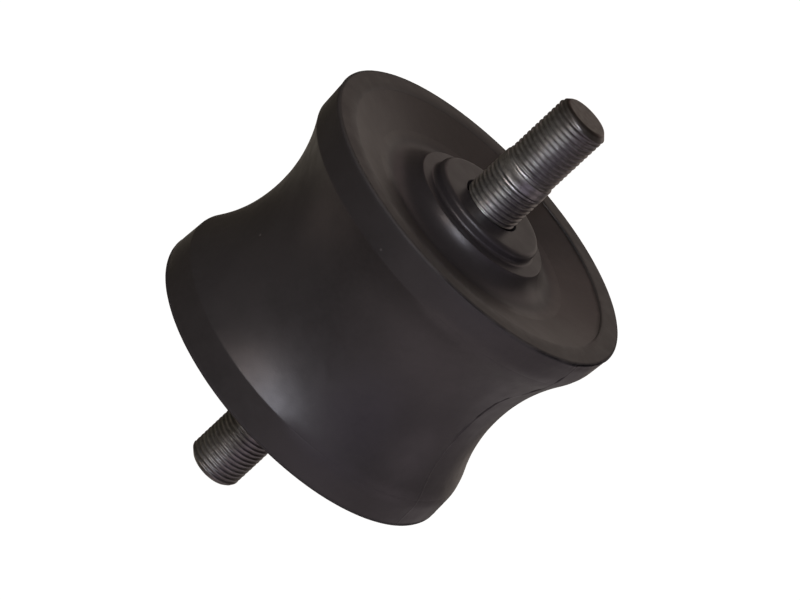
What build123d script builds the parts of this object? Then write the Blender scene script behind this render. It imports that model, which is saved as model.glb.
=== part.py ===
from build123d import *
import math
import os

# A round rubber engine mount with a threaded stud at each end.
# Every piece is turned about the stud axis, +Z. The origin is the centre of the lower seat, the flat
# face of the lower hub that bears on its bracket. Millimetres.

# Rubber body
flange_diameter = 100.0
body_height = 68.5  # between the two rim planes
band_height = 9.5  # straight edge of each flange
band_taper = 0.65  # radius lost over the height of that edge
waist_diameter = 85.2
rim_edge_radius = 0.7
crease_radius = 1.2  # where the band turns into the waist
edge_cover = 2.0  # rubber outside the plate's turned rim
lip_step = 0.5  # the lip stands this far proud of the plate
lip_edge_radius = 0.3

# Dished steel plate, one in each end
plate_thickness = 2.5
plate_bend_radius = 1.0  # inside the bend of the turned rim
plate_rim_cover = 1.7  # rubber between the foot of the turned rim and the crease
dish_angle = 15.5

# Turned steel hub, one in each end
hub_length = 24.0
seat_diameter = 34.4
seat_height = 3.8  # above the rim plane
seat_step = 3.4  # from the seat down to the shoulder
seat_edge_radius = 1.5
step_corner_radius = 1.0  # where the seat's wall meets the shoulder
ledge_width = 4.0  # of the shoulder outside the seat's wall
ledge_edge_radius = 0.4
flare_draft = 20.0  # lean of the flare's wall at the shoulder
flare_foot_height = 0.12
spigot_diameter = 28.0
spigot_edge_radius = 2.0
hub_floor = 5.0  # left under the bore
mouth_clearance = 0.8  # from the thread's crests to the countersink's edge
mouth_depth = 1.6

# Studs
stud_diameter = 16.0
stud_gap = 1.0  # between the stud's root and the bottom of its bore
stud_chamfer = 1.5
root_chamfer = 1.0
neck_depth = 1.1  # relief below the first turn of thread
neck_below_seat = 2.2
thread_start_below_seat = 0.6
thread_lead_chamfer = 0.5
register_length = 14.4  # full-diameter part of the upper stud, from the seat
register_chamfer = 0.3
upper_thread_step = 0.4  # its crests lie this far inside those of the register
upper_stud_reach = 35.4  # from the seat to the stud's end
lower_stud_reach = 35.0

# Radii
flange_radius = flange_diameter / 2
waist_radius = waist_diameter / 2
seat_radius = seat_diameter / 2
shoulder_radius = seat_radius + ledge_width
spigot_radius = spigot_diameter / 2
stud_radius = stud_diameter / 2
neck_radius = stud_radius - neck_depth
upper_thread_radius = stud_radius - upper_thread_step
mouth_radius = stud_radius + mouth_clearance

# Depths
bore_depth = hub_length - hub_floor
plate_rim_depth = band_height - plate_rim_cover  # from the rim plane to the foot of the turned rim

# The plate's face is a cone that rises outwards by the dish angle, up to the lip. There its rim is bent
# down into the rubber, so the lip is as wide as the bend and the rubber outside it.
dish_sin = math.sin(math.radians(dish_angle))
dish_cos = math.cos(math.radians(dish_angle))
dish_slope = math.tan(math.radians(dish_angle))
bend_radius = plate_bend_radius + plate_thickness
plate_radius = flange_radius - edge_cover
lip_radius = plate_radius - bend_radius * (1 + dish_sin)
bend_centre = (lip_radius + bend_radius * dish_sin, -lip_step - bend_radius * dish_cos)

# The two ends face away from each other, each with its own rim plane.
lower_end = Location((0, 0, seat_height), (180, 0, 0))
upper_end = Location((0, 0, seat_height + body_height))


def dish_height(radius):
    """Height of the plate's face at a radius, from the rim plane."""
    return -lip_step - (lip_radius - radius) * dish_slope


def turned(section):
    """Turn a half-section, drawn as (radius, height), about the stud axis."""
    return revolve(Plane.XZ * section, Axis.Z)


def corners(section, low, high, inner, outer=math.inf):
    """The section's corners between two heights and two radii."""
    found = section.vertices().filter_by_position(Axis.Y, low, high)
    return found.filter_by(lambda corner: inner < corner.X < outer)


def make_plate():
    """A dished disc with a turned-down rim and a hole for the hub's spigot."""
    underside = plate_thickness / dish_cos
    inner_bend = plate_bend_radius
    face_edge = (lip_radius, dish_height(lip_radius))
    under_edge = (bend_centre[0] - inner_bend * dish_sin, bend_centre[1] + inner_bend * dish_cos)
    outer_top = (plate_radius, bend_centre[1])
    inner_top = (plate_radius - plate_thickness, bend_centre[1])
    half_turn = math.radians(90 + dish_angle) / 2
    middle = (math.cos(half_turn), math.sin(half_turn))
    outer_middle = (bend_centre[0] + bend_radius * middle[0], bend_centre[1] + bend_radius * middle[1])
    inner_middle = (bend_centre[0] + inner_bend * middle[0], bend_centre[1] + inner_bend * middle[1])
    with BuildSketch() as section:
        with BuildLine():
            Line((spigot_radius, dish_height(spigot_radius)), face_edge)
            ThreePointArc(face_edge, outer_middle, outer_top)
            Polyline(
                outer_top,
                (plate_radius, -plate_rim_depth),
                (plate_radius - plate_thickness, -plate_rim_depth),
                inner_top,
            )
            ThreePointArc(inner_top, inner_middle, under_edge)
            Polyline(
                under_edge,
                (spigot_radius, dish_height(spigot_radius) - underside),
                (spigot_radius, dish_height(spigot_radius)),
            )
        make_face()
    return turned(section.sketch)


def make_hub_blank():
    """The hub without its bore: two steps, a flare that runs out on the plate, and a spigot through it."""
    shoulder_height = seat_height - seat_step
    root = seat_height - hub_length

    # The flare is one arc, from its draft at the shoulder until it lies along the plate.
    draft = math.radians(flare_draft)
    flat = math.radians(90 + dish_angle)
    drop = shoulder_height - dish_height(shoulder_radius) - flare_foot_height
    spread = math.cos(draft) - math.cos(flat)
    flare_radius = drop / (math.sin(flat) - math.sin(draft) + spread * dish_slope)
    flare_centre = (
        shoulder_radius + flare_radius * math.cos(draft),
        shoulder_height + flare_radius * math.sin(draft),
    )
    middle = (draft + flat) / 2
    flare_middle = (
        flare_centre[0] - flare_radius * math.cos(middle),
        flare_centre[1] - flare_radius * math.sin(middle),
    )
    foot_radius = shoulder_radius + flare_radius * spread
    foot_height = dish_height(foot_radius) + flare_foot_height
    with BuildSketch() as section:
        with BuildLine():
            Polyline(
                (0, seat_height),
                (seat_radius, seat_height),
                (seat_radius, shoulder_height),
                (shoulder_radius, shoulder_height),
            )
            ThreePointArc((shoulder_radius, shoulder_height), flare_middle, (foot_radius, foot_height))
            Polyline(
                (foot_radius, foot_height),
                (foot_radius, dish_height(foot_radius)),
                (spigot_radius, dish_height(spigot_radius)),
                (spigot_radius, root),
                (0, root),
                (0, seat_height),
            )
        make_face()
        margin = seat_step / 4
        ledge_middle = (seat_radius + shoulder_radius) / 2
        low, high = shoulder_height - margin, shoulder_height + margin
        fillet(corners(section, seat_height - margin, seat_height + margin, margin), seat_edge_radius)
        fillet(corners(section, low, high, margin, ledge_middle), step_corner_radius)
        fillet(corners(section, low, high, ledge_middle), ledge_edge_radius)
        fillet(corners(section, root - margin, root + margin, margin), spigot_edge_radius)
    return turned(section.sketch)


def make_hub(blank):
    """The hub, with a blind bore for the stud and a countersunk mouth."""
    bore_floor = seat_height - bore_depth
    with BuildSketch() as section:
        with BuildLine():
            Polyline(
                (0, seat_height),
                (mouth_radius, seat_height),
                (stud_radius, seat_height - mouth_depth),
                (stud_radius, bore_floor),
                (0, bore_floor),
                (0, seat_height),
            )
        make_face()
    return blank - turned(section.sketch)


def stud_root(floor):
    """Corners of the part that both studs share, from the end in the bore to the first turn of thread."""
    thread_start = seat_height - thread_start_below_seat
    neck_foot = seat_height - neck_below_seat
    return [
        (0, floor),
        (stud_radius - root_chamfer, floor),
        (stud_radius, floor + root_chamfer),
        (stud_radius, neck_foot - neck_depth),
        (neck_radius, neck_foot),
        (neck_radius, thread_start),
        (stud_radius - thread_lead_chamfer, thread_start),
        (stud_radius, thread_start + thread_lead_chamfer),
    ]


def make_stud(points, end_radius, reach):
    """A stud from its root points, a last radius and its reach beyond the seat, with a chamfered end."""
    tip = seat_height + reach
    outline = points + [
        (end_radius, tip - stud_chamfer),
        (end_radius - stud_chamfer, tip),
        (0, tip),
        points[0],
    ]
    with BuildSketch() as section:
        with BuildLine():
            Polyline(*outline)
        make_face()
    return turned(section.sketch)


def make_rubber(metal):
    """The waisted moulding, open at each dished face and filled with the metal of both ends."""
    half = body_height / 2
    crease_height = half - band_height
    crease = flange_radius - band_taper
    with BuildSketch() as section:
        with BuildLine():
            Polyline((0, -half), (flange_radius, -half), (crease, -crease_height))
            ThreePointArc((crease, -crease_height), (waist_radius, 0), (crease, crease_height))
            Polyline((crease, crease_height), (flange_radius, half), (0, half), (0, -half))
        make_face()
        margin = band_height / 4
        outer = waist_radius
        for side in (-1, 1):
            rim = sorted((side * (half - margin), side * (half + margin)))
            bend = sorted((side * (crease_height - margin), side * (crease_height + margin)))
            fillet(corners(section, rim[0], rim[1], outer), rim_edge_radius)
            fillet(corners(section, bend[0], bend[1], outer), crease_radius)
    body = Pos(0, 0, seat_height + half) * turned(section.sketch)

    with BuildSketch() as section:
        with BuildLine():
            Polyline(
                (0, dish_height(0)),
                (lip_radius, dish_height(lip_radius)),
                (lip_radius, -lip_edge_radius),
                (lip_radius + lip_edge_radius, 0),
                (lip_radius + lip_edge_radius, lip_step),
                (0, lip_step),
                (0, dish_height(0)),
            )
        make_face()
    dish = turned(section.sketch)
    for end in (lower_end, upper_end):
        body -= end * dish
        for piece in metal:
            body -= end * piece
    return body


plate = make_plate()
hub_blank = make_hub_blank()
hub = make_hub(hub_blank)

root_floor = seat_height - bore_depth + stud_gap
register_top = seat_height + register_length
lower_stud = make_stud(stud_root(root_floor), stud_radius, lower_stud_reach)
upper_points = stud_root(root_floor) + [
    (stud_radius, register_top - register_chamfer),
    (upper_thread_radius, register_top),
]
upper_stud = make_stud(upper_points, upper_thread_radius, upper_stud_reach)

pieces = {
    "rubber_body": make_rubber([plate, hub_blank]),
    "upper_plate": upper_end * plate,
    "upper_hub": upper_end * hub,
    "upper_stud": upper_end * upper_stud,
    "lower_plate": lower_end * plate,
    "lower_hub": lower_end * hub,
    "lower_stud": lower_end * lower_stud,
}

os.makedirs("parts", exist_ok=True)
for name, piece in pieces.items():
    export_step(piece, f"parts/{name}.step")
    print(name, round(piece.volume, 1), "mm3")
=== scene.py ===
# The looks of a round rubber engine mount: its moulded rubber, threaded studs, finishes, camera and light.
import math

import bpy
from mathutils import Matrix, Vector, noise


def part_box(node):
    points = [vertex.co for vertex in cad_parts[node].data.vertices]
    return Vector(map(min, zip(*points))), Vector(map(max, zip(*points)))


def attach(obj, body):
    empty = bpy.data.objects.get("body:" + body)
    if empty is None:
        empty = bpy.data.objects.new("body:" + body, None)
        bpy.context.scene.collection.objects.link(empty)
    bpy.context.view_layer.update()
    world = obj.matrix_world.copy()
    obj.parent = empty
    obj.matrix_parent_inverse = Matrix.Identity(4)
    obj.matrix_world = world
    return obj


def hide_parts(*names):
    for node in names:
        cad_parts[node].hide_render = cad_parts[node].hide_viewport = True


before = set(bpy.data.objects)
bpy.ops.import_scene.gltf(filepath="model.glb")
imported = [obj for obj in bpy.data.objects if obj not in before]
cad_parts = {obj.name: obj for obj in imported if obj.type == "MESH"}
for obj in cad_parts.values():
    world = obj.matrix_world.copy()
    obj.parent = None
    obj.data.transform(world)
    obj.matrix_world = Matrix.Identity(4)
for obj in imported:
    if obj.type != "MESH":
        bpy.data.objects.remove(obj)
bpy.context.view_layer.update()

MM = 0.001

# Sizes in millimetres, as in the solids. Both ends have the same sections, so a height in a section is
# counted outwards from the rim plane of its own end. A height named up is counted from mid-body.
body_low, body_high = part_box("rubber_body")
LOWER_RIM = body_low.z / MM
UPPER_RIM = body_high.z / MM
MID = (UPPER_RIM + LOWER_RIM) / 2
HALF_BODY = (UPPER_RIM - LOWER_RIM) / 2
UPPER_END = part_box("upper_stud")[1].z / MM - UPPER_RIM
LOWER_END = LOWER_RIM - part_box("lower_stud")[0].z / MM
SEAT_HEIGHT = LOWER_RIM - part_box("lower_hub")[0].z / MM

# Rubber body
FLANGE_R = 50.0
BAND_HEIGHT = 9.5
BAND_TAPER = 0.65
WAIST_R = 42.6
RIM_EDGE = 0.7
CREASE = 1.2
EDGE_COVER = 2.0
LIP_STEP = 0.5
LIP_EDGE = 0.3

# Plates
PLATE = 2.5
PLATE_BEND = 1.0
PLATE_RIM_COVER = 1.7
DISH = math.radians(15.5)

# Hubs
HUB_LENGTH = 24.0
HUB_FLOOR = 5.0
SEAT_R = 17.2
SEAT_STEP = 3.4
SEAT_EDGE = 1.5
STEP_CORNER = 1.0
LEDGE_WIDTH = 4.0
LEDGE_EDGE = 0.4
FLARE_DRAFT = math.radians(20)
FLARE_FOOT = 0.12
FLARE_RUNOUT = 3.5
SPIGOT_R = 14.0
SPIGOT_EDGE = 2.0
MOUTH_WIDTH = 0.8
MOUTH_DEPTH = 1.6

# Studs
STUD_R = 8.0
STUD_GAP = 1.0
STUD_CHAMFER = 1.5
ROOT_CHAMFER = 1.0
NECK_DEPTH = 1.1
NECK_BELOW_SEAT = 2.2
UPPER_THREAD_R = 7.6
REGISTER_LENGTH = 14.4
PITCH = 1.5
THREAD_DEPTH = 0.54

# What follows from them
BEND_R = PLATE_BEND + PLATE
PLATE_R = FLANGE_R - EDGE_COVER
PLATE_RIM_DEPTH = BAND_HEIGHT - PLATE_RIM_COVER
LIP_R = PLATE_R - BEND_R * (1 + math.sin(DISH))
BEND_CENTRE = (LIP_R + BEND_R * math.sin(DISH), -LIP_STEP - BEND_R * math.cos(DISH))
SHOULDER = SEAT_HEIGHT - SEAT_STEP
SHOULDER_R = SEAT_R + LEDGE_WIDTH
HUB_ROOT = SEAT_HEIGHT - HUB_LENGTH
BORE_FLOOR = HUB_ROOT + HUB_FLOOR
REGISTER_TOP = SEAT_HEIGHT + REGISTER_LENGTH

# From a section's heights to the world, for each end
UPPER_PLACE = Matrix.Translation((0, 0, UPPER_RIM))
LOWER_PLACE = Matrix.Translation((0, 0, LOWER_RIM)) @ Matrix.Rotation(math.pi, 4, "X")


def smooth(t):
    """0 to 1 with a soft start and end."""
    t = min(1.0, max(0.0, t))
    return t * t * (3 - 2 * t)


def window(x, low, high, soft):
    """1 between low and high, fading to 0 over soft outside them."""
    return smooth((x - low + soft) / soft) * smooth((high + soft - x) / soft)


def windows(x, stretches):
    """Sum of soft windows, each one (low, high, soft, strength)."""
    return sum(strength * window(x, low, high, soft) for low, high, soft, strength in stretches)


def turn_between(a, b):
    """Signed angle from b to a in degrees, from -180 to 180."""
    return (a - b + 180) % 360 - 180


def wave(x, y, z, scale):
    """Noise from about -1 to 1 at a point in millimetres, with features of about that scale."""
    return noise.noise(Vector((x / scale, y / scale, z / scale)))


def dish_height(radius):
    """Height of the plate's face at a radius, from the rim plane."""
    return -LIP_STEP - (LIP_R - radius) * math.tan(DISH)


# Meshes. An edge between two faces is sharp from one of these angles, in degrees.
SHARP_ANGLE = 32
THREAD_SHARP_ANGLE = 50


def make_object(name, points, faces, sharp_angle, values=None):
    """A smooth mesh from points in millimetres, with an optional shade value at each point."""
    mesh = bpy.data.meshes.new(name)
    mesh.from_pydata([(x * MM, y * MM, z * MM) for x, y, z in points], [], faces)
    mesh.validate()
    mesh.shade_smooth()
    mesh.set_sharp_from_angle(angle=math.radians(sharp_angle))
    if values is not None:
        shade = mesh.attributes.new("shade", "FLOAT", "POINT")
        shade.data.foreach_set("value", values)
    made = bpy.data.objects.new(name, mesh)
    bpy.context.scene.collection.objects.link(made)
    return made


def placed(points, place):
    """Points of a section's end, moved to their place in the world."""
    return [tuple(place @ Vector(point)) for point in points]


def arc(centre, radius, start, end, count):
    """Points on an arc, from one angle to another in degrees."""
    found = []
    for k in range(count + 1):
        angle = math.radians(start + (end - start) * k / count)
        found.append((centre[0] + radius * math.cos(angle), centre[1] + radius * math.sin(angle)))
    return found


def run(start, end, count):
    """Points on a straight run, without its two ends."""
    return [
        (start[0] + (end[0] - start[0]) * k / count, start[1] + (end[1] - start[1]) * k / count)
        for k in range(1, count)
    ]


def ring_faces(low, high):
    """Faces between two rings of point numbers. Either may be a single point on the axis."""
    faces = []
    count = max(len(low), len(high))
    for k in range(count):
        n = (k + 1) % count
        if len(low) == 1:
            faces.append((low[0], high[k], high[n]))
        elif len(high) == 1:
            faces.append((low[n], low[k], high[0]))
        else:
            faces.append((low[k], high[k], high[n], low[n]))
    return faces


def lathe(section, azimuths, point_at):
    """Points, faces and shades of a closed turned mesh, whose section starts and ends on the axis.

    point_at gives the point and the shade for a row of the section at an azimuth in degrees.
    """
    points, values, rings = [], [], []
    for row in section:
        radius, height = row[:2]
        first = len(points)
        if radius == 0.0:
            points.append((0.0, 0.0, height))
            values.append(0.0)
        else:
            for azimuth in azimuths:
                point, shade = point_at(row, azimuth)
                points.append(point)
                values.append(shade)
        rings.append(range(first, len(points)))
    faces = []
    for low, high in zip(rings, rings[1:]):
        faces += ring_faces(low, high)
    return points, faces, values


# The rubber's section, as points (radius, height). The waist is one arc between the feet of the two bands.
WAIST_HALF = HALF_BODY - BAND_HEIGHT
WAIST_SAG = FLANGE_R - BAND_TAPER - WAIST_R
WAIST_ARC = (WAIST_HALF * WAIST_HALF + WAIST_SAG * WAIST_SAG) / (2 * WAIST_SAG)
WAIST_ROWS = 36

# Depths of the mesh's rows on the band, below its rounded edge: closer together where the edge is torn
BAND_DEPTHS = (0.05, 0.2, 0.4, 0.6, 0.8, 1.0, 1.25, 1.5, 1.8, 2.2, 2.8, 3.6, 4.6, 5.6, 6.6, 7.5, 8.2)
BAND_CLEARANCE = 0.15  # least distance from such a row to the crease


def waist_radius(up):
    """Radius of the waist at a height from mid-body."""
    return WAIST_R + WAIST_ARC - math.sqrt(WAIST_ARC * WAIST_ARC - up * up)


def hidden_section():
    """The rubber's section where it is bonded to the metal, from the axis out to the lip."""
    tilt = math.degrees(DISH)
    section = [(0.0, HUB_ROOT)]
    section += arc((SPIGOT_R - SPIGOT_EDGE, HUB_ROOT + SPIGOT_EDGE), SPIGOT_EDGE, -90, 0, 4)
    section.append((SPIGOT_R, dish_height(SPIGOT_R) - PLATE / math.cos(DISH)))
    section += arc(BEND_CENTRE, PLATE_BEND, 90 + tilt, 0, 4)
    section += [(PLATE_R - PLATE, -PLATE_RIM_DEPTH), (PLATE_R, -PLATE_RIM_DEPTH)]
    section += arc(BEND_CENTRE, BEND_R, 0, 90 + tilt, 7)
    return section


def open_section():
    """The rubber's section where it shows, from the lip over the rim and down to mid-body."""
    slope = math.atan2(BAND_TAPER, BAND_HEIGHT)
    reach = RIM_EDGE * math.tan((math.pi / 2 - slope) / 2)
    rim = arc((FLANGE_R - reach, -RIM_EDGE), RIM_EDGE, 90, math.degrees(-slope), 6)
    lip_start = (LIP_R + LIP_EDGE, 0.0)
    lip = [(LIP_R, -LIP_EDGE), (LIP_R + LIP_EDGE * 0.3, -LIP_EDGE * 0.3), lip_start]
    lip += run(lip_start, rim[0], 12)

    waist_slope = math.asin(WAIST_HALF / WAIST_ARC)
    cut = CREASE * math.tan((waist_slope - slope) / 2)
    band_foot = (FLANGE_R - BAND_TAPER, -BAND_HEIGHT)
    above = (band_foot[0] + cut * math.sin(slope), band_foot[1] + cut * math.cos(slope))
    centre = (above[0] - CREASE * math.cos(slope), above[1] + CREASE * math.sin(slope))
    crease = arc(centre, CREASE, math.degrees(-slope), math.degrees(-waist_slope), 4)

    heights = [rim[-1][1] - depth for depth in BAND_DEPTHS]
    band = [(FLANGE_R + z * math.tan(slope), z) for z in heights if z > above[1] + BAND_CLEARANCE]
    waist = []
    for k in range(1, WAIST_ROWS + 1):
        up = (crease[-1][1] + HALF_BODY) * (1 - k / WAIST_ROWS)
        waist.append((waist_radius(up), up - HALF_BODY))
    return lip + rim + band + crease + waist


def whole_section():
    """The rubber's closed section as (radius, height in the world, whether it shows), both halves."""
    upper = [(r, z + UPPER_RIM, False) for r, z in hidden_section()]
    upper += [(r, z + UPPER_RIM, True) for r, z in open_section()]
    lower = [(r, 2 * MID - z, shows) for r, z, shows in reversed(upper[:-1])]
    return upper + lower


# The marks that the mould and the trimming left. They move the rubber's surface a little, and paint shade
# into its troughs and slits and onto a stretch of the upper band.
FRONT_PARTING = -26.0
BACK_PARTING = 152.0
FRONT_SWAY = 2.0  # degrees that the front line strays further than the back line

# Stretches of the front parting line, by height from mid-body: low, high, soft edge and strength
TORN_STRETCHES = ((3.5, 12.5, 1.2, 0.7), (18.6, 20.4, 0.8, 1.0), (26.4, 27.6, 0.6, 1.0))
PROUD_STRETCHES = ((-6, -1, 2, 0.8), (16, 21, 1.5, 0.6))

# Stretches around the rubber, by azimuth in degrees: from, to and soft edge
SOFT_CREASE = (-76, 25, 14)
# The next stretch is where shade is painted onto the upper band.
PAINTED_SHADE_BAND = (-134, -106, 14)
SMALL_TEAR = (-84, -61, 4)
LARGE_TEAR = (-46, -10, 4)
NARROW_LIP = (5, 75, 25)

CREASE_WEAR_REACH = 2.8  # above and below the crease
CREASE_WEAR_ROUND = 18.0  # the square of the reach over this is how deep the crease is worn
RIM_MARK_DEPTH = 4.0  # below the rim plane
LIP_OUTER_R = 49.2  # where the lip's face meets the rim's rounded edge
LIP_FACE_DEPTH = 0.35  # the lip's rows lie within this of the rim plane
FEATHER_WIDTH = 3.4
NARROW_LOSS = 2.9  # the feathered edge is this much narrower where the lip is narrow
FEATHER_LEFT = 0.03  # the lip's feathered edge ends this far above the plate


def columns():
    """Azimuths of the rubber's mesh in degrees, closer together at the parting lines."""
    found = []
    azimuth = -180.0
    while azimuth < 180.0 - 1e-6:
        found.append(azimuth)
        from_front = abs(turn_between(azimuth, FRONT_PARTING)) - FRONT_SWAY
        near = min(from_front, abs(turn_between(azimuth, BACK_PARTING)))
        if near < 2:
            azimuth += 0.18
        elif near < 4:
            azimuth += 0.5
        else:
            azimuth += 1.0
    if 180.0 - found[-1] < 0.3:
        found.pop()
    return found


def parting_marks(line, azimuth, r, z):
    """(outward move, painted shade) at a parting line: a ridge of flash, a torn trough beside it with painted
    shade in it, and a low step.
    """
    up = z - MID
    swing = 0.55 * wave(0, line, z, 9) + 0.3 * wave(5, line, z, 2.5)
    if line == FRONT_PARTING:
        swing += 3.6 * smooth((up - 10) / 9) - 1.5 * smooth((up - 20) / 5) - 1.2
        torn = min(1.0, 0.15 + windows(up, TORN_STRETCHES)) * (0.65 + 0.7 * wave(3, line, z, 1.6))
        proud = 0.06 + 0.2 * smooth((up + 16) / 6) + windows(up, PROUD_STRETCHES)
    else:
        torn = proud = 0.35 + 0.65 * smooth(0.5 + 1.6 * wave(9, line, z, 5))
    off = math.radians(turn_between(azimuth, line)) * r - swing
    ridge = math.exp(-((off / 0.28) ** 2))
    trough = math.exp(-(((off + 0.8) / 0.45) ** 2))
    step = smooth((off + 0.2) / 0.5) - smooth((off - 3.0) / 9.0)
    # The second value is painted shade in the torn trough.
    return 0.22 * ridge * proud - 0.3 * trough * torn - 0.12 * step, 1.2 * trough * torn


def rim_marks(azimuth, x, y, depth, upper):
    """(outward move, painted shade) below the rim's edge, where the trimming tore it: an undercut and a slit,
    with painted shade along them.
    """
    torn = 0.25
    if upper:
        torn = 0.32 * window(azimuth, *SMALL_TEAR)
        torn += window(azimuth, *LARGE_TEAR) * (0.6 + 0.5 * smooth((azimuth + 36) / 12))
    ragged = 0.75 + 0.8 * wave(x, y, 0, 5) + 0.4 * wave(x, y, 9, 1.6)
    under = smooth((depth - 0.25) / 0.3) * (1 - smooth((depth - 0.7 - 0.5 * torn) / 2.2))
    slit = smooth((depth - 0.3) / 0.25) * (1 - smooth((depth - 0.35 - 0.5 * torn) / 0.35))
    # Painted shade in the undercut and the slit below the rim's edge.
    dark = smooth((depth - 0.02) / 0.2) * (1 - smooth((depth - torn) / 0.4))
    cut = 0.3 * under + 0.55 * slit * smooth(torn / 0.5)
    return -cut * torn * ragged, 1.6 * torn * ragged * dark


def rubber_marks(azimuth, r, z):
    """(outward move in mm, painted shade) of the rubber's surface at a place on its side or lip."""
    a = math.radians(azimuth)
    x, y = r * math.cos(a), r * math.sin(a)
    up = z - MID
    depth = HALF_BODY - abs(up)
    move = 0.05 * wave(x, y, z, 14) + 0.015 * wave(x, y, z, 3)
    shade = 0.0
    side = smooth((r - 42) / 0.5) if abs(up) < HALF_BODY - LIP_EDGE else 0.0
    if side > 0:
        for line in (FRONT_PARTING, BACK_PARTING):
            line_move, line_shade = parting_marks(line, azimuth, r, z)
            move += side * line_move
            shade += side * line_shade
    if r > 45.0:
        reach = max(0.0, CREASE_WEAR_REACH - abs(depth - BAND_HEIGHT))
        move -= window(azimuth, *SOFT_CREASE) * reach * reach / CREASE_WEAR_ROUND
    # Painted shade on a stretch of the upper band.
    if up > 0 and r > 48.0:
        shade += 0.36 * window(azimuth, *PAINTED_SHADE_BAND) * window(depth, 1.5, BAND_HEIGHT - 0.8, 1.2)
    if depth < RIM_MARK_DEPTH and r > 49.0:
        rim_move, rim_shade = rim_marks(azimuth, x, y, depth, up > 0)
        move += rim_move
        shade += rim_shade
    return move, min(1.0, max(0.0, shade))


def lip_lift(azimuth, r):
    """How far the lip's face lies above the rim plane: shallow dents, and feathered out on the plate."""
    a = math.radians(azimuth)
    dents = 0.06 * wave(r * math.cos(a), r * math.sin(a), 3, 9) * smooth((r - LIP_R) / 3)
    width = FEATHER_WIDTH - NARROW_LOSS * window(azimuth, *NARROW_LIP)
    t = min(1.0, max(0.0, (r - LIP_R) / width))
    return min(0.05, dents - (LIP_STEP - FEATHER_LEFT) * (1 - t) ** 2)


def make_rubber():
    """The moulded body as one closed mesh, with the marks that the mould and the trimming left."""

    def point_at(row, azimuth):
        r, z, shows = row
        move, shade = rubber_marks(azimuth, r, z) if shows else (0.0, 0.0)
        if shows and r < LIP_OUTER_R and abs(z - MID) > HALF_BODY - LIP_FACE_DEPTH:
            z = MID + math.copysign(HALF_BODY + lip_lift(azimuth, r), z - MID)
            move = 0.0
        a = math.radians(azimuth)
        return ((r + move) * math.cos(a), (r + move) * math.sin(a), z), shade

    points, faces, values = lathe(whole_section(), columns(), point_at)
    made = make_object("rubber_moulding", points, faces, SHARP_ANGLE, values)
    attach(made, "root")
    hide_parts("rubber_body")
    return made


# Hubs
HUB_SINK = 0.05  # the hub's underside lies this far inside the plate
RUNOUT_SINK = 0.02  # and so does the thin end of its flare
RUNOUT_ROWS = 8


def hub_section():
    """The hub's section, from the bore's floor over the seat, the steps and the flare to the spigot's end."""
    mouth = (STUD_R + MOUTH_WIDTH, SEAT_HEIGHT)
    section = [(0.0, BORE_FLOOR), (STUD_R, BORE_FLOOR), (STUD_R, SEAT_HEIGHT - MOUTH_DEPTH)]
    section += [mouth, (mouth[0] + 0.2, SEAT_HEIGHT)]
    seat_centre = (SEAT_R - SEAT_EDGE, SEAT_HEIGHT - SEAT_EDGE)
    section += run(section[-1], (seat_centre[0], SEAT_HEIGHT), 5)
    section += arc(seat_centre, SEAT_EDGE, 90, 0, 10)
    section += arc((SEAT_R + STEP_CORNER, SHOULDER + STEP_CORNER), STEP_CORNER, 180, 270, 8)
    draft = math.degrees(FLARE_DRAFT)
    cut = LEDGE_EDGE * math.tan((math.pi / 2 - FLARE_DRAFT) / 2)
    section += arc((SHOULDER_R - cut, SHOULDER - LEDGE_EDGE), LEDGE_EDGE, 90, draft, 6)

    # The flare is one arc, from its draft at the shoulder until it lies along the plate.
    flat = math.pi / 2 + DISH
    spread = math.cos(FLARE_DRAFT) - math.cos(flat)
    drop = SHOULDER - dish_height(SHOULDER_R) - FLARE_FOOT
    flare = drop / (math.sin(flat) - math.sin(FLARE_DRAFT) + spread * math.tan(DISH))
    centre = (SHOULDER_R + flare * math.cos(FLARE_DRAFT), SHOULDER + flare * math.sin(FLARE_DRAFT))
    start = 180 + draft + math.degrees(cut / flare)
    section += arc(centre, flare, start, 180 + math.degrees(flat), 24)

    # There its foot runs out on the plate, and the section goes back under it to the spigot.
    foot = section[-1][0]
    for k in range(1, RUNOUT_ROWS + 1):
        t = k / RUNOUT_ROWS
        radius = foot + FLARE_RUNOUT * t
        section.append((radius, dish_height(radius) + FLARE_FOOT * (1 - t) ** 2 - RUNOUT_SINK * t))
    section += [(radius, dish_height(radius) - HUB_SINK) for radius in (foot, SPIGOT_R)]
    section += arc((SPIGOT_R - SPIGOT_EDGE, HUB_ROOT + SPIGOT_EDGE), SPIGOT_EDGE, 0, -90, 5)
    section.append((0.0, HUB_ROOT))
    return section


def make_hub(end, place):
    """A turned hub as one closed mesh, with small dents on its edges, whose flare runs out on the plate."""

    def point_at(row, azimuth):
        r, z = row
        a = math.radians(azimuth)
        x, y = math.cos(a), math.sin(a)
        dent = 0.03 * wave(r * x, r * y, z + 60, 4) * window(r, 12, 24, 2) * smooth((z + 6) / 2)
        return ((r + dent) * x, (r + dent) * y, z), 0.0

    points, faces, _ = lathe(hub_section(), range(0, 360, 2), point_at)
    made = make_object(end + "_hub_turned", placed(points, place), faces, SHARP_ANGLE)
    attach(made, "root")
    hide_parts(end + "_hub")
    return made


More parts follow.
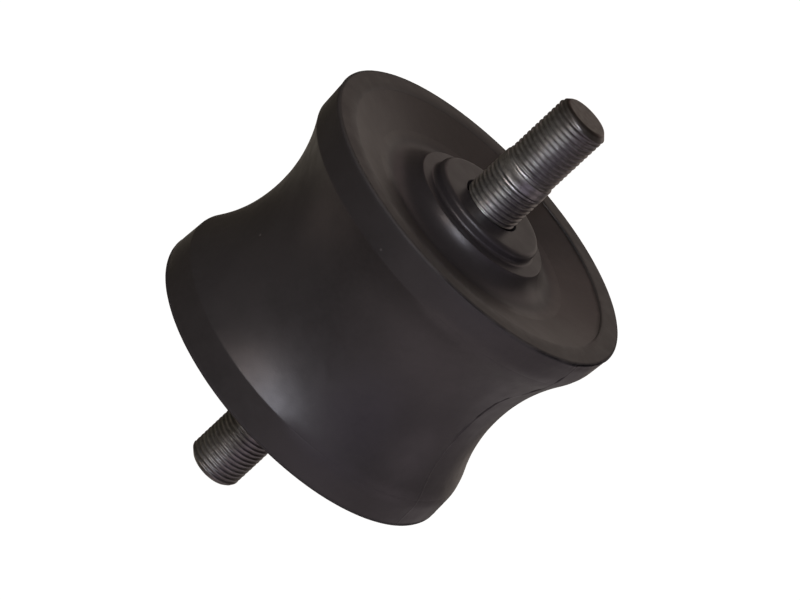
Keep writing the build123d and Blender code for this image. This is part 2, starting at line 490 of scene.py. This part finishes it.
# Studs
STUD_COLUMNS = 96
STUD_ANGLES = [2 * math.pi * k / STUD_COLUMNS for k in range(STUD_COLUMNS)]
CREST_LIFT = 0.05  # crests stand this far outside the solid's radius, less their dents
CHAMFER_SLOPE = 0.95
THREAD_START = SEAT_HEIGHT - 0.15
RUN_IN = (SEAT_HEIGHT - 0.4, 0.8)  # from this height, over this length
THREAD_END_GAP = 0.25  # from the last turn to the stud's end
MERGE = 0.03  # a helical row this near to an end of its thread is part of the ring there
END_PHASE = 0.25  # phase of those rings, half-way down a flank
PHASES = (0.0, 0.05, 0.1, 0.16, 0.24, 0.32, 0.4, 0.46, 0.54, 0.6, 0.68, 0.76, 0.84, 0.9, 0.95)

# The thread on the thicker part of the upper stud, and the plain stretch above it
REGISTER_THREAD_END = 15.0
REGISTER_RUN_OUT = (14.9, 1.4)  # to this height, over this length
PLAIN_R = STUD_R - 0.03

# Worn thread near the upper stud's end
WEAR_AZIMUTH = -35.0
WEAR_DEPTH = 6.7  # from the stud's end


class StudMesh:
    """A threaded stud's mesh, built upwards from its root out of plain rings and threads."""

    def __init__(self):
        self.points = []
        self.faces = []
        self.values = []
        self.last = []

    def add(self, radius, angle, height, shade=0.0):
        """Add a point and give its number."""
        self.points.append((radius * math.cos(angle), radius * math.sin(angle), height))
        self.values.append(shade)
        return len(self.points) - 1

    def rings(self, outline):
        """Rings through (radius, height) pairs, joined to the last one. A radius of 0 closes the mesh."""
        for radius, height in outline:
            angles = STUD_ANGLES if radius > 0 else [0.0]
            ring = [self.add(radius, angle, height) for angle in angles]
            if self.last:
                self.faces += [face[::-1] for face in ring_faces(self.last, ring)]
            self.last = ring

    def thread(self, start, end, radius_at):
        """Helical rows, merged into the rings at both ends, so that each crest is one clean edge."""
        low = self.last
        high = []
        for angle in STUD_ANGLES:
            radius, shade = radius_at(end, angle, END_PHASE)
            high.append(self.add(radius, angle, end, shade))
        turns = math.ceil((end - start) / PITCH) + 2
        rows = []
        for height in [PITCH * (turn + phase) for turn in range(-1, turns) for phase in PHASES]:
            row = []
            for k, angle in enumerate(STUD_ANGLES):
                z = start + height + PITCH * k / STUD_COLUMNS
                if z < start + MERGE:
                    row.append(low[k])
                elif z > end - MERGE:
                    row.append(high[k])
                else:
                    radius, shade = radius_at(z, angle, height / PITCH)
                    row.append(self.add(radius, angle, z, shade))
            rows.append(row)
        self.join_helix(rows, high)
        self.last = high

    def join_helix(self, rows, high):
        """Faces between helical rows. The end of a row meets the start of the row one turn up."""
        turn = len(PHASES)
        for j in range(len(rows) - 1):
            for k in range(STUD_COLUMNS):
                if k + 1 < STUD_COLUMNS:
                    right, right_up = rows[j][k + 1], rows[j + 1][k + 1]
                elif j + 1 + turn < len(rows):
                    right, right_up = rows[j + turn][0], rows[j + 1 + turn][0]
                else:
                    right, right_up = high[0], high[0]
                corners = dict.fromkeys((rows[j][k], right, right_up, rows[j + 1][k]))
                if len(corners) > 2:
                    self.faces.append(tuple(corners))

    def finish(self, end, place):
        """The stud as an object that takes the place of its plain solid."""
        points = placed(self.points, place)
        made = make_object(end + "_stud_threaded", points, self.faces, THREAD_SHARP_ANGLE, self.values)
        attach(made, "root")
        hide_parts(end + "_stud")
        return made


def thread_shape(phase):
    """How deep a thread is at a phase: 0 on its crest at phase 0, 1 in its root at phase 0.5."""
    t = abs(((phase + 0.5) % 1.0) - 0.5) * 2
    return smooth(0.5 * (t - 0.12) / 0.72 + 0.5 * smooth((t - 0.08) / 0.78))


def thread_radius(crest, seed, run_in, run_out=None, chamfer_top=None, wear=None):
    """The radius function of a thread: its helix, run-in, run-out, end chamfer and small dents."""

    def radius_at(z, angle, phase):
        depth = THREAD_DEPTH * smooth((z - run_in[0]) / run_in[1])
        if run_out is not None:
            depth *= smooth((run_out[0] - z) / run_out[1])
        if wear is not None:
            depth *= 1 - wear(z, math.degrees(angle))
        x, y = crest * math.cos(angle), crest * math.sin(angle)
        dents = 0.035 * wave(x, y, z + seed, 1.3) + 0.03 * wave(x, y, z + seed, 4)
        form = thread_shape(phase)
        radius = crest - depth * form + dents * (1 - form) + CREST_LIFT
        if chamfer_top is not None:
            radius = min(radius, crest - (z - chamfer_top) * CHAMFER_SLOPE)
        # The second value is the thread's depth there, which paints shade into the roots.
        return radius, form * depth / THREAD_DEPTH

    return radius_at


def upper_wear(z, azimuth):
    """How much of the thread is worn off near the upper stud's end, on its right side."""
    off = abs(turn_between(azimuth, WEAR_AZIMUTH)) / 60
    return 0.55 * smooth(1.4 - off) * smooth((z - UPPER_END + WEAR_DEPTH) / 3)


def root_rings():
    """Rings of the part that both studs share, from the end in the bore to the first turn of thread."""
    floor = BORE_FLOOR + STUD_GAP
    neck = SEAT_HEIGHT - NECK_BELOW_SEAT
    return [
        (0.0, floor),
        (STUD_R - ROOT_CHAMFER, floor),
        (STUD_R, floor + ROOT_CHAMFER),
        (STUD_R, neck - NECK_DEPTH),
        (STUD_R - NECK_DEPTH, neck),
        (STUD_R - NECK_DEPTH, SEAT_HEIGHT - 0.7),
        (STUD_R - 0.95, SEAT_HEIGHT - 0.62),
        (STUD_R - 0.5, SEAT_HEIGHT - 0.52),
        (STUD_R - 0.2, SEAT_HEIGHT - 0.38),
        (STUD_R - 0.06, SEAT_HEIGHT - 0.2),
    ]


def register_rings():
    """Rings of the plain stretch above the upper stud's first thread, and of the small shoulder there."""
    return [
        (PLAIN_R, REGISTER_THREAD_END + 0.1),
        (PLAIN_R, REGISTER_THREAD_END + 1.5),
        (PLAIN_R, REGISTER_TOP - 0.32),
        (PLAIN_R - 0.05, REGISTER_TOP - 0.22),
        (UPPER_THREAD_R + 0.08, REGISTER_TOP - 0.04),
        (UPPER_THREAD_R - 0.02, REGISTER_TOP),
    ]


def end_rings(radius, tip):
    """Rings of a stud's chamfered end, from the last turn of thread to the middle of the end face."""
    inner = radius - STUD_CHAMFER * CHAMFER_SLOPE
    return [
        (inner + 0.05, tip - 0.14),
        (inner - 0.05, tip - 0.05),
        (inner - 0.25, tip),
        (inner - 0.6, tip),
        (inner * 0.5, tip),
        (0.0, tip),
    ]


def make_upper_stud():
    """The upper stud: a thread, a plain stretch, a small shoulder and a slimmer thread."""
    first = thread_radius(STUD_R, 0, RUN_IN, REGISTER_RUN_OUT)
    chamfer_top = UPPER_END - STUD_CHAMFER
    run_in = (REGISTER_TOP + 0.1, 1.0)
    second = thread_radius(UPPER_THREAD_R, 40, run_in, chamfer_top=chamfer_top, wear=upper_wear)
    stud = StudMesh()
    stud.rings(root_rings())
    stud.thread(THREAD_START, REGISTER_THREAD_END, first)
    stud.rings(register_rings())
    stud.thread(REGISTER_TOP, UPPER_END - THREAD_END_GAP, second)
    stud.rings(end_rings(UPPER_THREAD_R, UPPER_END))
    return stud.finish("upper", UPPER_PLACE)


def make_lower_stud():
    """The lower stud, with one thread over its whole length."""
    whole = thread_radius(STUD_R, 80, RUN_IN, chamfer_top=LOWER_END - STUD_CHAMFER)
    stud = StudMesh()
    stud.rings(root_rings())
    stud.thread(THREAD_START, LOWER_END - THREAD_END_GAP, whole)
    stud.rings(end_rings(STUD_R, LOWER_END))
    return stud.finish("lower", LOWER_PLACE)


# Materials
class Nodes:
    """A material's node tree, with short calls for the nodes that these finishes use."""

    def __init__(self, name):
        self.material = bpy.data.materials.new(name)
        self.material.use_nodes = True
        self.tree = self.material.node_tree
        self.shader = self.tree.nodes["Principled BSDF"]
        self.place = self.tree.nodes.new("ShaderNodeTexCoord").outputs["Object"]

    def link(self, a, b):
        self.tree.links.new(a, b)

    def noise(self, scale, detail, rough=0.5, stretch=None):
        """A noise value around 0.5, with features of about 1 / scale metres."""
        node = self.tree.nodes.new("ShaderNodeTexNoise")
        node.inputs["Scale"].default_value = scale
        node.inputs["Detail"].default_value = detail
        node.inputs["Roughness"].default_value = rough
        source = self.place
        if stretch is not None:
            mapping = self.tree.nodes.new("ShaderNodeMapping")
            mapping.inputs["Scale"].default_value = stretch
            self.link(source, mapping.inputs["Vector"])
            source = mapping.outputs["Vector"]
        self.link(source, node.inputs["Vector"])
        return node.outputs["Fac"]

    def ramp(self, value, low, high, first, last):
        """value mapped from low..high to first..last, held at the ends."""
        node = self.tree.nodes.new("ShaderNodeMapRange")
        node.inputs["From Min"].default_value = low
        node.inputs["From Max"].default_value = high
        node.inputs["To Min"].default_value = first
        node.inputs["To Max"].default_value = last
        self.link(value, node.inputs["Value"])
        return node.outputs["Result"]

    def zone(self, value, limits, amount=1.0):
        """0 below two limits in millimetres and amount above them, for a value in metres."""
        return self.ramp(value, limits[0] * MM, limits[1] * MM, 0.0, amount)

    def patches(self, scale, detail, low, high, last=1.0, first=0.0):
        """Noise in soft patches: first where it is below low, last where it is above high."""
        return self.ramp(self.noise(scale, detail), low, high, first, last)

    def specks(self, scale, size):
        """1 in sparse round specks, 0 elsewhere."""
        node = self.tree.nodes.new("ShaderNodeTexVoronoi")
        node.inputs["Scale"].default_value = scale
        self.link(self.place, node.inputs["Vector"])
        return self.ramp(node.outputs["Distance"], size * 0.5, size, 1.0, 0.0)

    def math(self, kind, a, b=0.0):
        """One operation on one or two values, each a number or a socket."""
        node = self.tree.nodes.new("ShaderNodeMath")
        node.operation = kind
        for socket, value in zip(node.inputs, (a, b)):
            if isinstance(value, (int, float)):
                socket.default_value = value
            else:
                self.link(value, socket)
        return node.outputs[0]

    def mix(self, factor, a, b):
        """A colour between two colours, each a tuple or a socket."""
        node = self.tree.nodes.new("ShaderNodeMix")
        node.data_type = "RGBA"
        self.link(factor, node.inputs["Factor"])
        for socket, value in zip((node.inputs[6], node.inputs[7]), (a, b)):
            if isinstance(value, tuple):
                socket.default_value = (*value, 1.0)
            else:
                self.link(value, socket)
        return node.outputs[2]

    def attribute(self, name):
        """The value of a mesh attribute."""
        node = self.tree.nodes.new("ShaderNodeAttribute")
        node.attribute_name = name
        return node.outputs["Fac"]

    def split(self):
        """The place's three coordinates, in metres."""
        node = self.tree.nodes.new("ShaderNodeSeparateXYZ")
        self.link(self.place, node.inputs["Vector"])
        return node.outputs

    def reach(self):
        """Distance from mid-body along the stud axis, in metres."""
        return self.math("ABSOLUTE", self.math("SUBTRACT", self.split()["Z"], MID * MM))

    def radius(self):
        """Distance from the stud axis, in metres."""
        x, y = self.split()[:2]
        squares = [self.math("MULTIPLY", side, side) for side in (x, y)]
        return self.math("SQRT", self.math("ADD", *squares))

    def facing(self, azimuth):
        """Cosine of the angle around the stud axis between a place and an azimuth in degrees."""
        node = self.tree.nodes.new("ShaderNodeVectorMath")
        node.operation = "DOT_PRODUCT"
        a = math.radians(azimuth)
        node.inputs[1].default_value = (math.cos(a), math.sin(a), 0.0)
        self.link(self.place, node.inputs[0])
        return self.math("DIVIDE", node.outputs["Value"], self.radius())

    def spot(self, azimuth, r, z, size):
        """1 within size millimetres of a place, 0 outside it."""
        node = self.tree.nodes.new("ShaderNodeVectorMath")
        node.operation = "DISTANCE"
        a = math.radians(azimuth)
        node.inputs[1].default_value = (r * math.cos(a) * MM, r * math.sin(a) * MM, z * MM)
        self.link(self.place, node.inputs[0])
        return self.ramp(node.outputs["Value"], size * 0.6 * MM, size * MM, 1.0, 0.0)

    def grain(self, scale, share, coarse, distance):
        """A bump of fine noise over a coarser height, up to a distance in metres."""
        node = self.tree.nodes.new("ShaderNodeBump")
        node.inputs["Strength"].default_value = 0.4
        node.inputs["Distance"].default_value = distance
        fine = self.math("MULTIPLY", self.noise(scale, 2), share)
        self.link(self.math("ADD", fine, coarse), node.inputs["Height"])
        self.link(node.outputs["Normal"], self.shader.inputs["Normal"])

    def colour(self, source):
        self.link(source, self.shader.inputs["Base Color"])

    def roughness(self, source):
        self.link(source, self.shader.inputs["Roughness"])

    def set(self, **values):
        """Set the shader's own sockets, named with underscores for spaces."""
        for key, value in values.items():
            self.shader.inputs[key.replace("_", " ")].default_value = value


# Colours of the rubber, as linear red, green and blue
RUBBER_DARK = (0.0295, 0.028, 0.0285)
RUBBER_LIGHT = (0.038, 0.036, 0.0362)
RUBBER_GRAIN = (0.042, 0.04, 0.04)
RUBBER_FACE = (0.0435, 0.0392, 0.0355)
RUBBER_SPECK = (0.07, 0.066, 0.062)
# Painted shade, mixed in by the marks' shade value
RUBBER_PAINTED_SHADE = (0.006, 0.005, 0.005)
LINT_COLOUR = (0.1, 0.096, 0.092)

# Where the rubber's faces and its rims' rounded edges begin: distances from mid-body, and from the stud axis
FACE_ZONE = (HALF_BODY - 0.6, HALF_BODY - 0.2)
RIM_ZONE = (HALF_BODY - 1.4, HALF_BODY - 0.7)
RIM_RADIUS_ZONE = (FLANGE_R - 0.9, FLANGE_R - 0.4)

# Two pale specks of lint on the rubber: azimuth, radius, height from mid-body and size
LINT = ((-102.3, 49.7, 26.3, 0.5), (-144.9, 42.9, -5.1, 0.45))

# Painted shade in the seam on the plate inside the lip, on the side that faces an azimuth
SEAM_SHADE_COLOUR = (0.007, 0.006, 0.005)
SEAM_AZIMUTH = 40.0
SEAM_FACING = (0.72, 0.85)
SEAM_ZONE = (LIP_R - 1.05, LIP_R - 0.25)
SEAM_WANDER = 0.3

# Radii between which the hub's coat turns into the plate's
HUB_COAT_EDGE = (28.5, 31.2)

# Colours of the studs
STUD_DARK = (0.34, 0.35, 0.34)
STUD_LIGHT = (0.49, 0.5, 0.485)
STUD_STREAK = (0.62, 0.63, 0.61)
STUD_BLOTCH = (0.12, 0.115, 0.11)
# Painted shade in the thread's roots
THREAD_ROOT_SHADE = (0.11, 0.107, 0.105)
# Painted shade on two sides of the studs
SIDE_SHADE_COLOUR = (0.085, 0.076, 0.078)
TIP_COLOUR = (0.12, 0.11, 0.105)
END_FACE_COLOUR = (0.085, 0.075, 0.069)

# Painted shade on two sides of the studs: azimuth, how near it a side has to face, and how dark
PAINTED_SIDE_SHADES = ((-15.0, -0.1, 0.7), (165.0, 0.3, 0.45))

# Distances from mid-body over which the studs' tips darken, and over which their end faces begin
TIP_ZONE = (66.5, 72.5)
END_FACE_ZONE = (72.7, 73.0)


def rubber_material():
    """Satin black rubber, rougher on its faces and rims, with painted shade in its torn troughs and slits and
    on a stretch of the upper band.
    """
    n = Nodes("moulded_rubber")
    tone = n.mix(n.patches(55, 3, 0.35, 0.65), RUBBER_DARK, RUBBER_LIGHT)
    tone = n.mix(n.patches(700, 3, 0.35, 0.75, 0.4), tone, RUBBER_GRAIN)
    reach = n.reach()
    face = n.zone(reach, FACE_ZONE)
    tone = n.mix(face, tone, RUBBER_FACE)
    tone = n.mix(n.specks(110, 0.025), tone, RUBBER_SPECK)
    for azimuth, r, up, size in LINT:
        tone = n.mix(n.spot(azimuth, r, MID + up, size), tone, LINT_COLOUR)
    # Painted shade in the torn troughs and slits and on a stretch of the upper band.
    shade = n.attribute("shade")
    n.colour(n.mix(shade, tone, RUBBER_PAINTED_SHADE))
    rim = n.math("MULTIPLY", n.zone(reach, RIM_ZONE), n.zone(n.radius(), RIM_RADIUS_ZONE))
    rough = n.patches(260, 5, 0.3, 0.7, 0.44, 0.35)
    for where, amount in ((face, 0.1), (rim, 0.3), (shade, 0.5)):
        rough = n.math("ADD", rough, n.math("MULTIPLY", where, amount))
    n.roughness(rough)
    n.grain(2600, 0.35, n.noise(420, 3), 0.00006)
    n.set(Specular_IOR_Level=0.5)
    return n.material


def plate_tone(n):
    """The colour of the plates' coating."""
    tone = n.mix(n.patches(38, 4, 0.3, 0.7), (0.04, 0.034, 0.031), (0.048, 0.041, 0.0375))
    return n.mix(n.patches(600, 3, 0.4, 0.75, 0.4), tone, (0.054, 0.047, 0.042))


def plate_material():
    """Matt black coating, with painted shade in the seam beside the lip, on one side."""
    n = Nodes("plate_coating")
    # The seam's darkening is painted shade, only on the side that faces SEAM_AZIMUTH.
    wander = n.patches(300, 3, 0.3, 0.7, SEAM_WANDER * MM, -SEAM_WANDER * MM)
    seam = n.zone(n.math("ADD", n.radius(), wander), SEAM_ZONE, 0.9)
    seam = n.math("MULTIPLY", seam, n.ramp(n.facing(SEAM_AZIMUTH), *SEAM_FACING, 0, 1))
    n.colour(n.mix(seam, plate_tone(n), SEAM_SHADE_COLOUR))
    n.roughness(n.patches(110, 4, 0.3, 0.7, 0.43, 0.37))
    n.grain(2200, 0.4, n.noise(300, 3), 0.00005)
    n.set(Specular_IOR_Level=0.38)
    return n.material


def hub_material():
    """Satin black coating with faint turning rings, which turns into the plate's at the flare's foot."""
    n = Nodes("hub_coating")
    tone = n.mix(n.patches(60, 3, 0.3, 0.7), (0.0235, 0.0212, 0.0222), (0.0295, 0.027, 0.0283))
    tone = n.mix(n.patches(900, 3, 0.45, 0.8, 0.5), tone, (0.034, 0.031, 0.032))
    n.colour(n.mix(n.zone(n.radius(), HUB_COAT_EDGE), tone, plate_tone(n)))
    n.roughness(n.patches(200, 4, 0.3, 0.7, 0.42, 0.35))
    n.grain(2600, 0.5, n.noise(900, 2, 0.5, (0.25, 0.25, 4.0)), 0.00003)
    n.set(Specular_IOR_Level=0.46)
    return n.material


def stud_material():
    """Worn grey phosphate, with painted shade in the thread's roots and on two sides, and darker at the tips.
    """
    n = Nodes("stud_steel_finish")
    tone = n.mix(n.patches(90, 4, 0.3, 0.7), STUD_DARK, STUD_LIGHT)
    streaks = n.noise(1100, 3, 0.5, (0.4, 0.4, 2.0))
    tone = n.mix(n.ramp(streaks, 0.45, 0.7, 0, 0.8), tone, STUD_STREAK)
    tone = n.mix(n.patches(750, 4, 0.48, 0.7, 0.45), tone, STUD_BLOTCH)
    # Painted shade in the thread's roots, from the thread's depth.
    tone = n.mix(n.ramp(n.attribute("shade"), 0.35, 1.0, 0.0, 0.4), tone, THREAD_ROOT_SHADE)
    # Painted shade on two sides of the studs.
    for azimuth, first, amount in PAINTED_SIDE_SHADES:
        tone = n.mix(n.ramp(n.facing(azimuth), first, 1.0, 0, amount), tone, SIDE_SHADE_COLOUR)
    reach = n.reach()
    tone = n.mix(n.zone(reach, TIP_ZONE, 0.65), tone, TIP_COLOUR)
    n.colour(n.mix(n.zone(reach, END_FACE_ZONE), tone, END_FACE_COLOUR))
    n.roughness(n.patches(600, 4, 0.35, 0.65, 0.42, 0.31))
    n.grain(3200, 0.5, n.noise(700, 3, 0.6, (0.35, 0.35, 3.0)), 0.00005)
    n.set(Metallic=0.9)
    return n.material


def finish_node(name, material):
    """Give a node of the frame its finish, and leave its shape as it is."""
    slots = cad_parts[name].material_slots
    for slot in slots:
        slot.material = material
    if not slots:
        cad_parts[name].data.materials.append(material)


make_rubber().data.materials.append(rubber_material())
stud_finish = stud_material()
make_upper_stud().data.materials.append(stud_finish)
make_lower_stud().data.materials.append(stud_finish)
plate_finish = plate_material()
hub_finish = hub_material()
for end, place in (("upper", UPPER_PLACE), ("lower", LOWER_PLACE)):
    finish_node(end + "_plate", plate_finish)
    make_hub(end, place).data.materials.append(hub_finish)


# Camera: pitched down and rolled, so that the upright part lies across the picture as in the photograph
PITCH_DOWN = 0.39003
ROLL = 0.823
DISTANCE = 0.848685
AIM_RIGHT = 0.00192
AIM_UP = -0.00066
middle = Vector((0, 0, MID * MM))
level_right = Vector((1, 0, 0))
level_up = Vector((0, math.sin(PITCH_DOWN), math.cos(PITCH_DOWN)))
back = Vector((0, -math.cos(PITCH_DOWN), math.sin(PITCH_DOWN)))
right = math.cos(ROLL) * level_right + math.sin(ROLL) * level_up
up = -math.sin(ROLL) * level_right + math.cos(ROLL) * level_up
aim = middle + AIM_RIGHT * right + AIM_UP * up
camera_data = bpy.data.cameras.new("camera")
camera_data.lens = 144.35
camera_data.sensor_width = 36.0
camera_data.clip_start = 0.05
camera_data.clip_end = 50
camera = bpy.data.objects.new("camera", camera_data)
spin = Matrix((right, up, back)).transposed()
camera.matrix_world = Matrix.Translation(aim + DISTANCE * back) @ spin.to_4x4()
bpy.context.scene.collection.objects.link(camera)
bpy.context.scene.camera = camera


# Light: small softboxes beside the camera as the key, and weak large ones all round
LIGHT_DISTANCE = 1.8


def softbox(name, azimuth, elevation, size, power, colour):
    """A round area light that shines on the part from a direction in degrees."""
    data = bpy.data.lights.new(name, "AREA")
    data.shape = "DISK"
    data.size = size
    data.energy = power
    data.color = colour
    a, e = math.radians(azimuth), math.radians(elevation)
    way = Vector((math.cos(a) * math.cos(e), math.sin(a) * math.cos(e), math.sin(e)))
    made = bpy.data.objects.new(name, data)
    made.location = middle + way * LIGHT_DISTANCE
    made.rotation_mode = "QUATERNION"
    made.rotation_quaternion = way.to_track_quat("Z", "Y")
    made.visible_camera = False
    bpy.context.scene.collection.objects.link(made)


softbox("key_light", -91, 34, 0.35, 11.2, (0.885, 0.885, 1.0))
softbox("key_low", -108, 24, 0.35, 3.2, (1.0, 0.93, 0.97))
softbox("key_left", -120, 31, 0.35, 4.0, (1.0, 0.81, 0.74))
softbox("right_light", -50, 5, 1.8, 2.8, (0.82, 0.67, 1.0))
softbox("side_light", 0, 0, 0.9, 1.25, (1.0, 0.8, 0.9))
softbox("back_light", 75, 5, 1.8, 3.5, (1.0, 0.87, 0.8))
softbox("back_left", 110, 34, 0.9, 0.9, (1.0, 0.74, 0.71))
softbox("back_right", 60, 34, 0.9, 0.85, (1.0, 0.76, 0.73))
softbox("low_front", -75, -45, 1.8, 1.95, (1.0, 0.82, 0.84))
softbox("low_right", -25, -45, 1.8, 3.4, (1.0, 0.81, 0.87))
softbox("low_side", 25, -20, 1.8, 1.35, (1.0, 0.84, 0.93))
softbox("low_back", 50, -45, 1.8, 1.75, (1.0, 0.93, 0.96))
softbox("low_back_left", 100, -45, 1.8, 1.7, (1.0, 0.91, 0.78))
softbox("low_left", 180, -50, 0.9, 0.55, (1.0, 0.76, 0.67))

world = bpy.data.worlds.new("studio")
world.use_nodes = True
sky = world.node_tree.nodes["Background"].inputs
sky["Color"].default_value = (1.0, 0.82, 0.59, 1.0)
sky["Strength"].default_value = 0.063
bpy.context.scene.world = world


# Floor and backdrop, both plain white. The lights alone light the part, so neither casts light on it.
STAGE = 6.0
FLOOR_DROP = 2.2  # metres below the lower stud, so that the part also shows from below

white = bpy.data.materials.new("pale_floor")
white.use_nodes = True
white_shader = white.node_tree.nodes["Principled BSDF"].inputs
white_shader["Base Color"].default_value = (0.8, 0.8, 0.8, 1.0)
white_shader["Roughness"].default_value = 0.9
white_shader["Emission Color"].default_value = (1.0, 1.0, 1.0, 1.0)
white_shader["Emission Strength"].default_value = 1.0


def stage_piece(name, points, faces):
    """A white piece of the stage that the camera sees and the light passes."""
    mesh = bpy.data.meshes.new(name)
    mesh.from_pydata(points, [], faces)
    mesh.materials.append(white)
    made = bpy.data.objects.new(name, mesh)
    made.visible_diffuse = False
    made.visible_glossy = False
    made.visible_shadow = False
    bpy.context.scene.collection.objects.link(made)


floor_corners = ((-1, -1), (1, -1), (1, 1), (-1, 1))
floor_height = (LOWER_RIM - LOWER_END) * MM - FLOOR_DROP
low_ring = [(x * STAGE, y * STAGE, floor_height) for x, y in floor_corners]
high_ring = [(x * STAGE, y * STAGE, STAGE) for x, y in floor_corners]
walls = [(k, (k + 1) % 4, (k + 1) % 4 + 4, k + 4) for k in range(4)]
stage_piece("floor", low_ring, [(0, 1, 2, 3)])
stage_piece("backdrop", low_ring + high_ring, walls + [(4, 5, 6, 7)])

bpy.context.scene.view_settings.view_transform = "Standard"
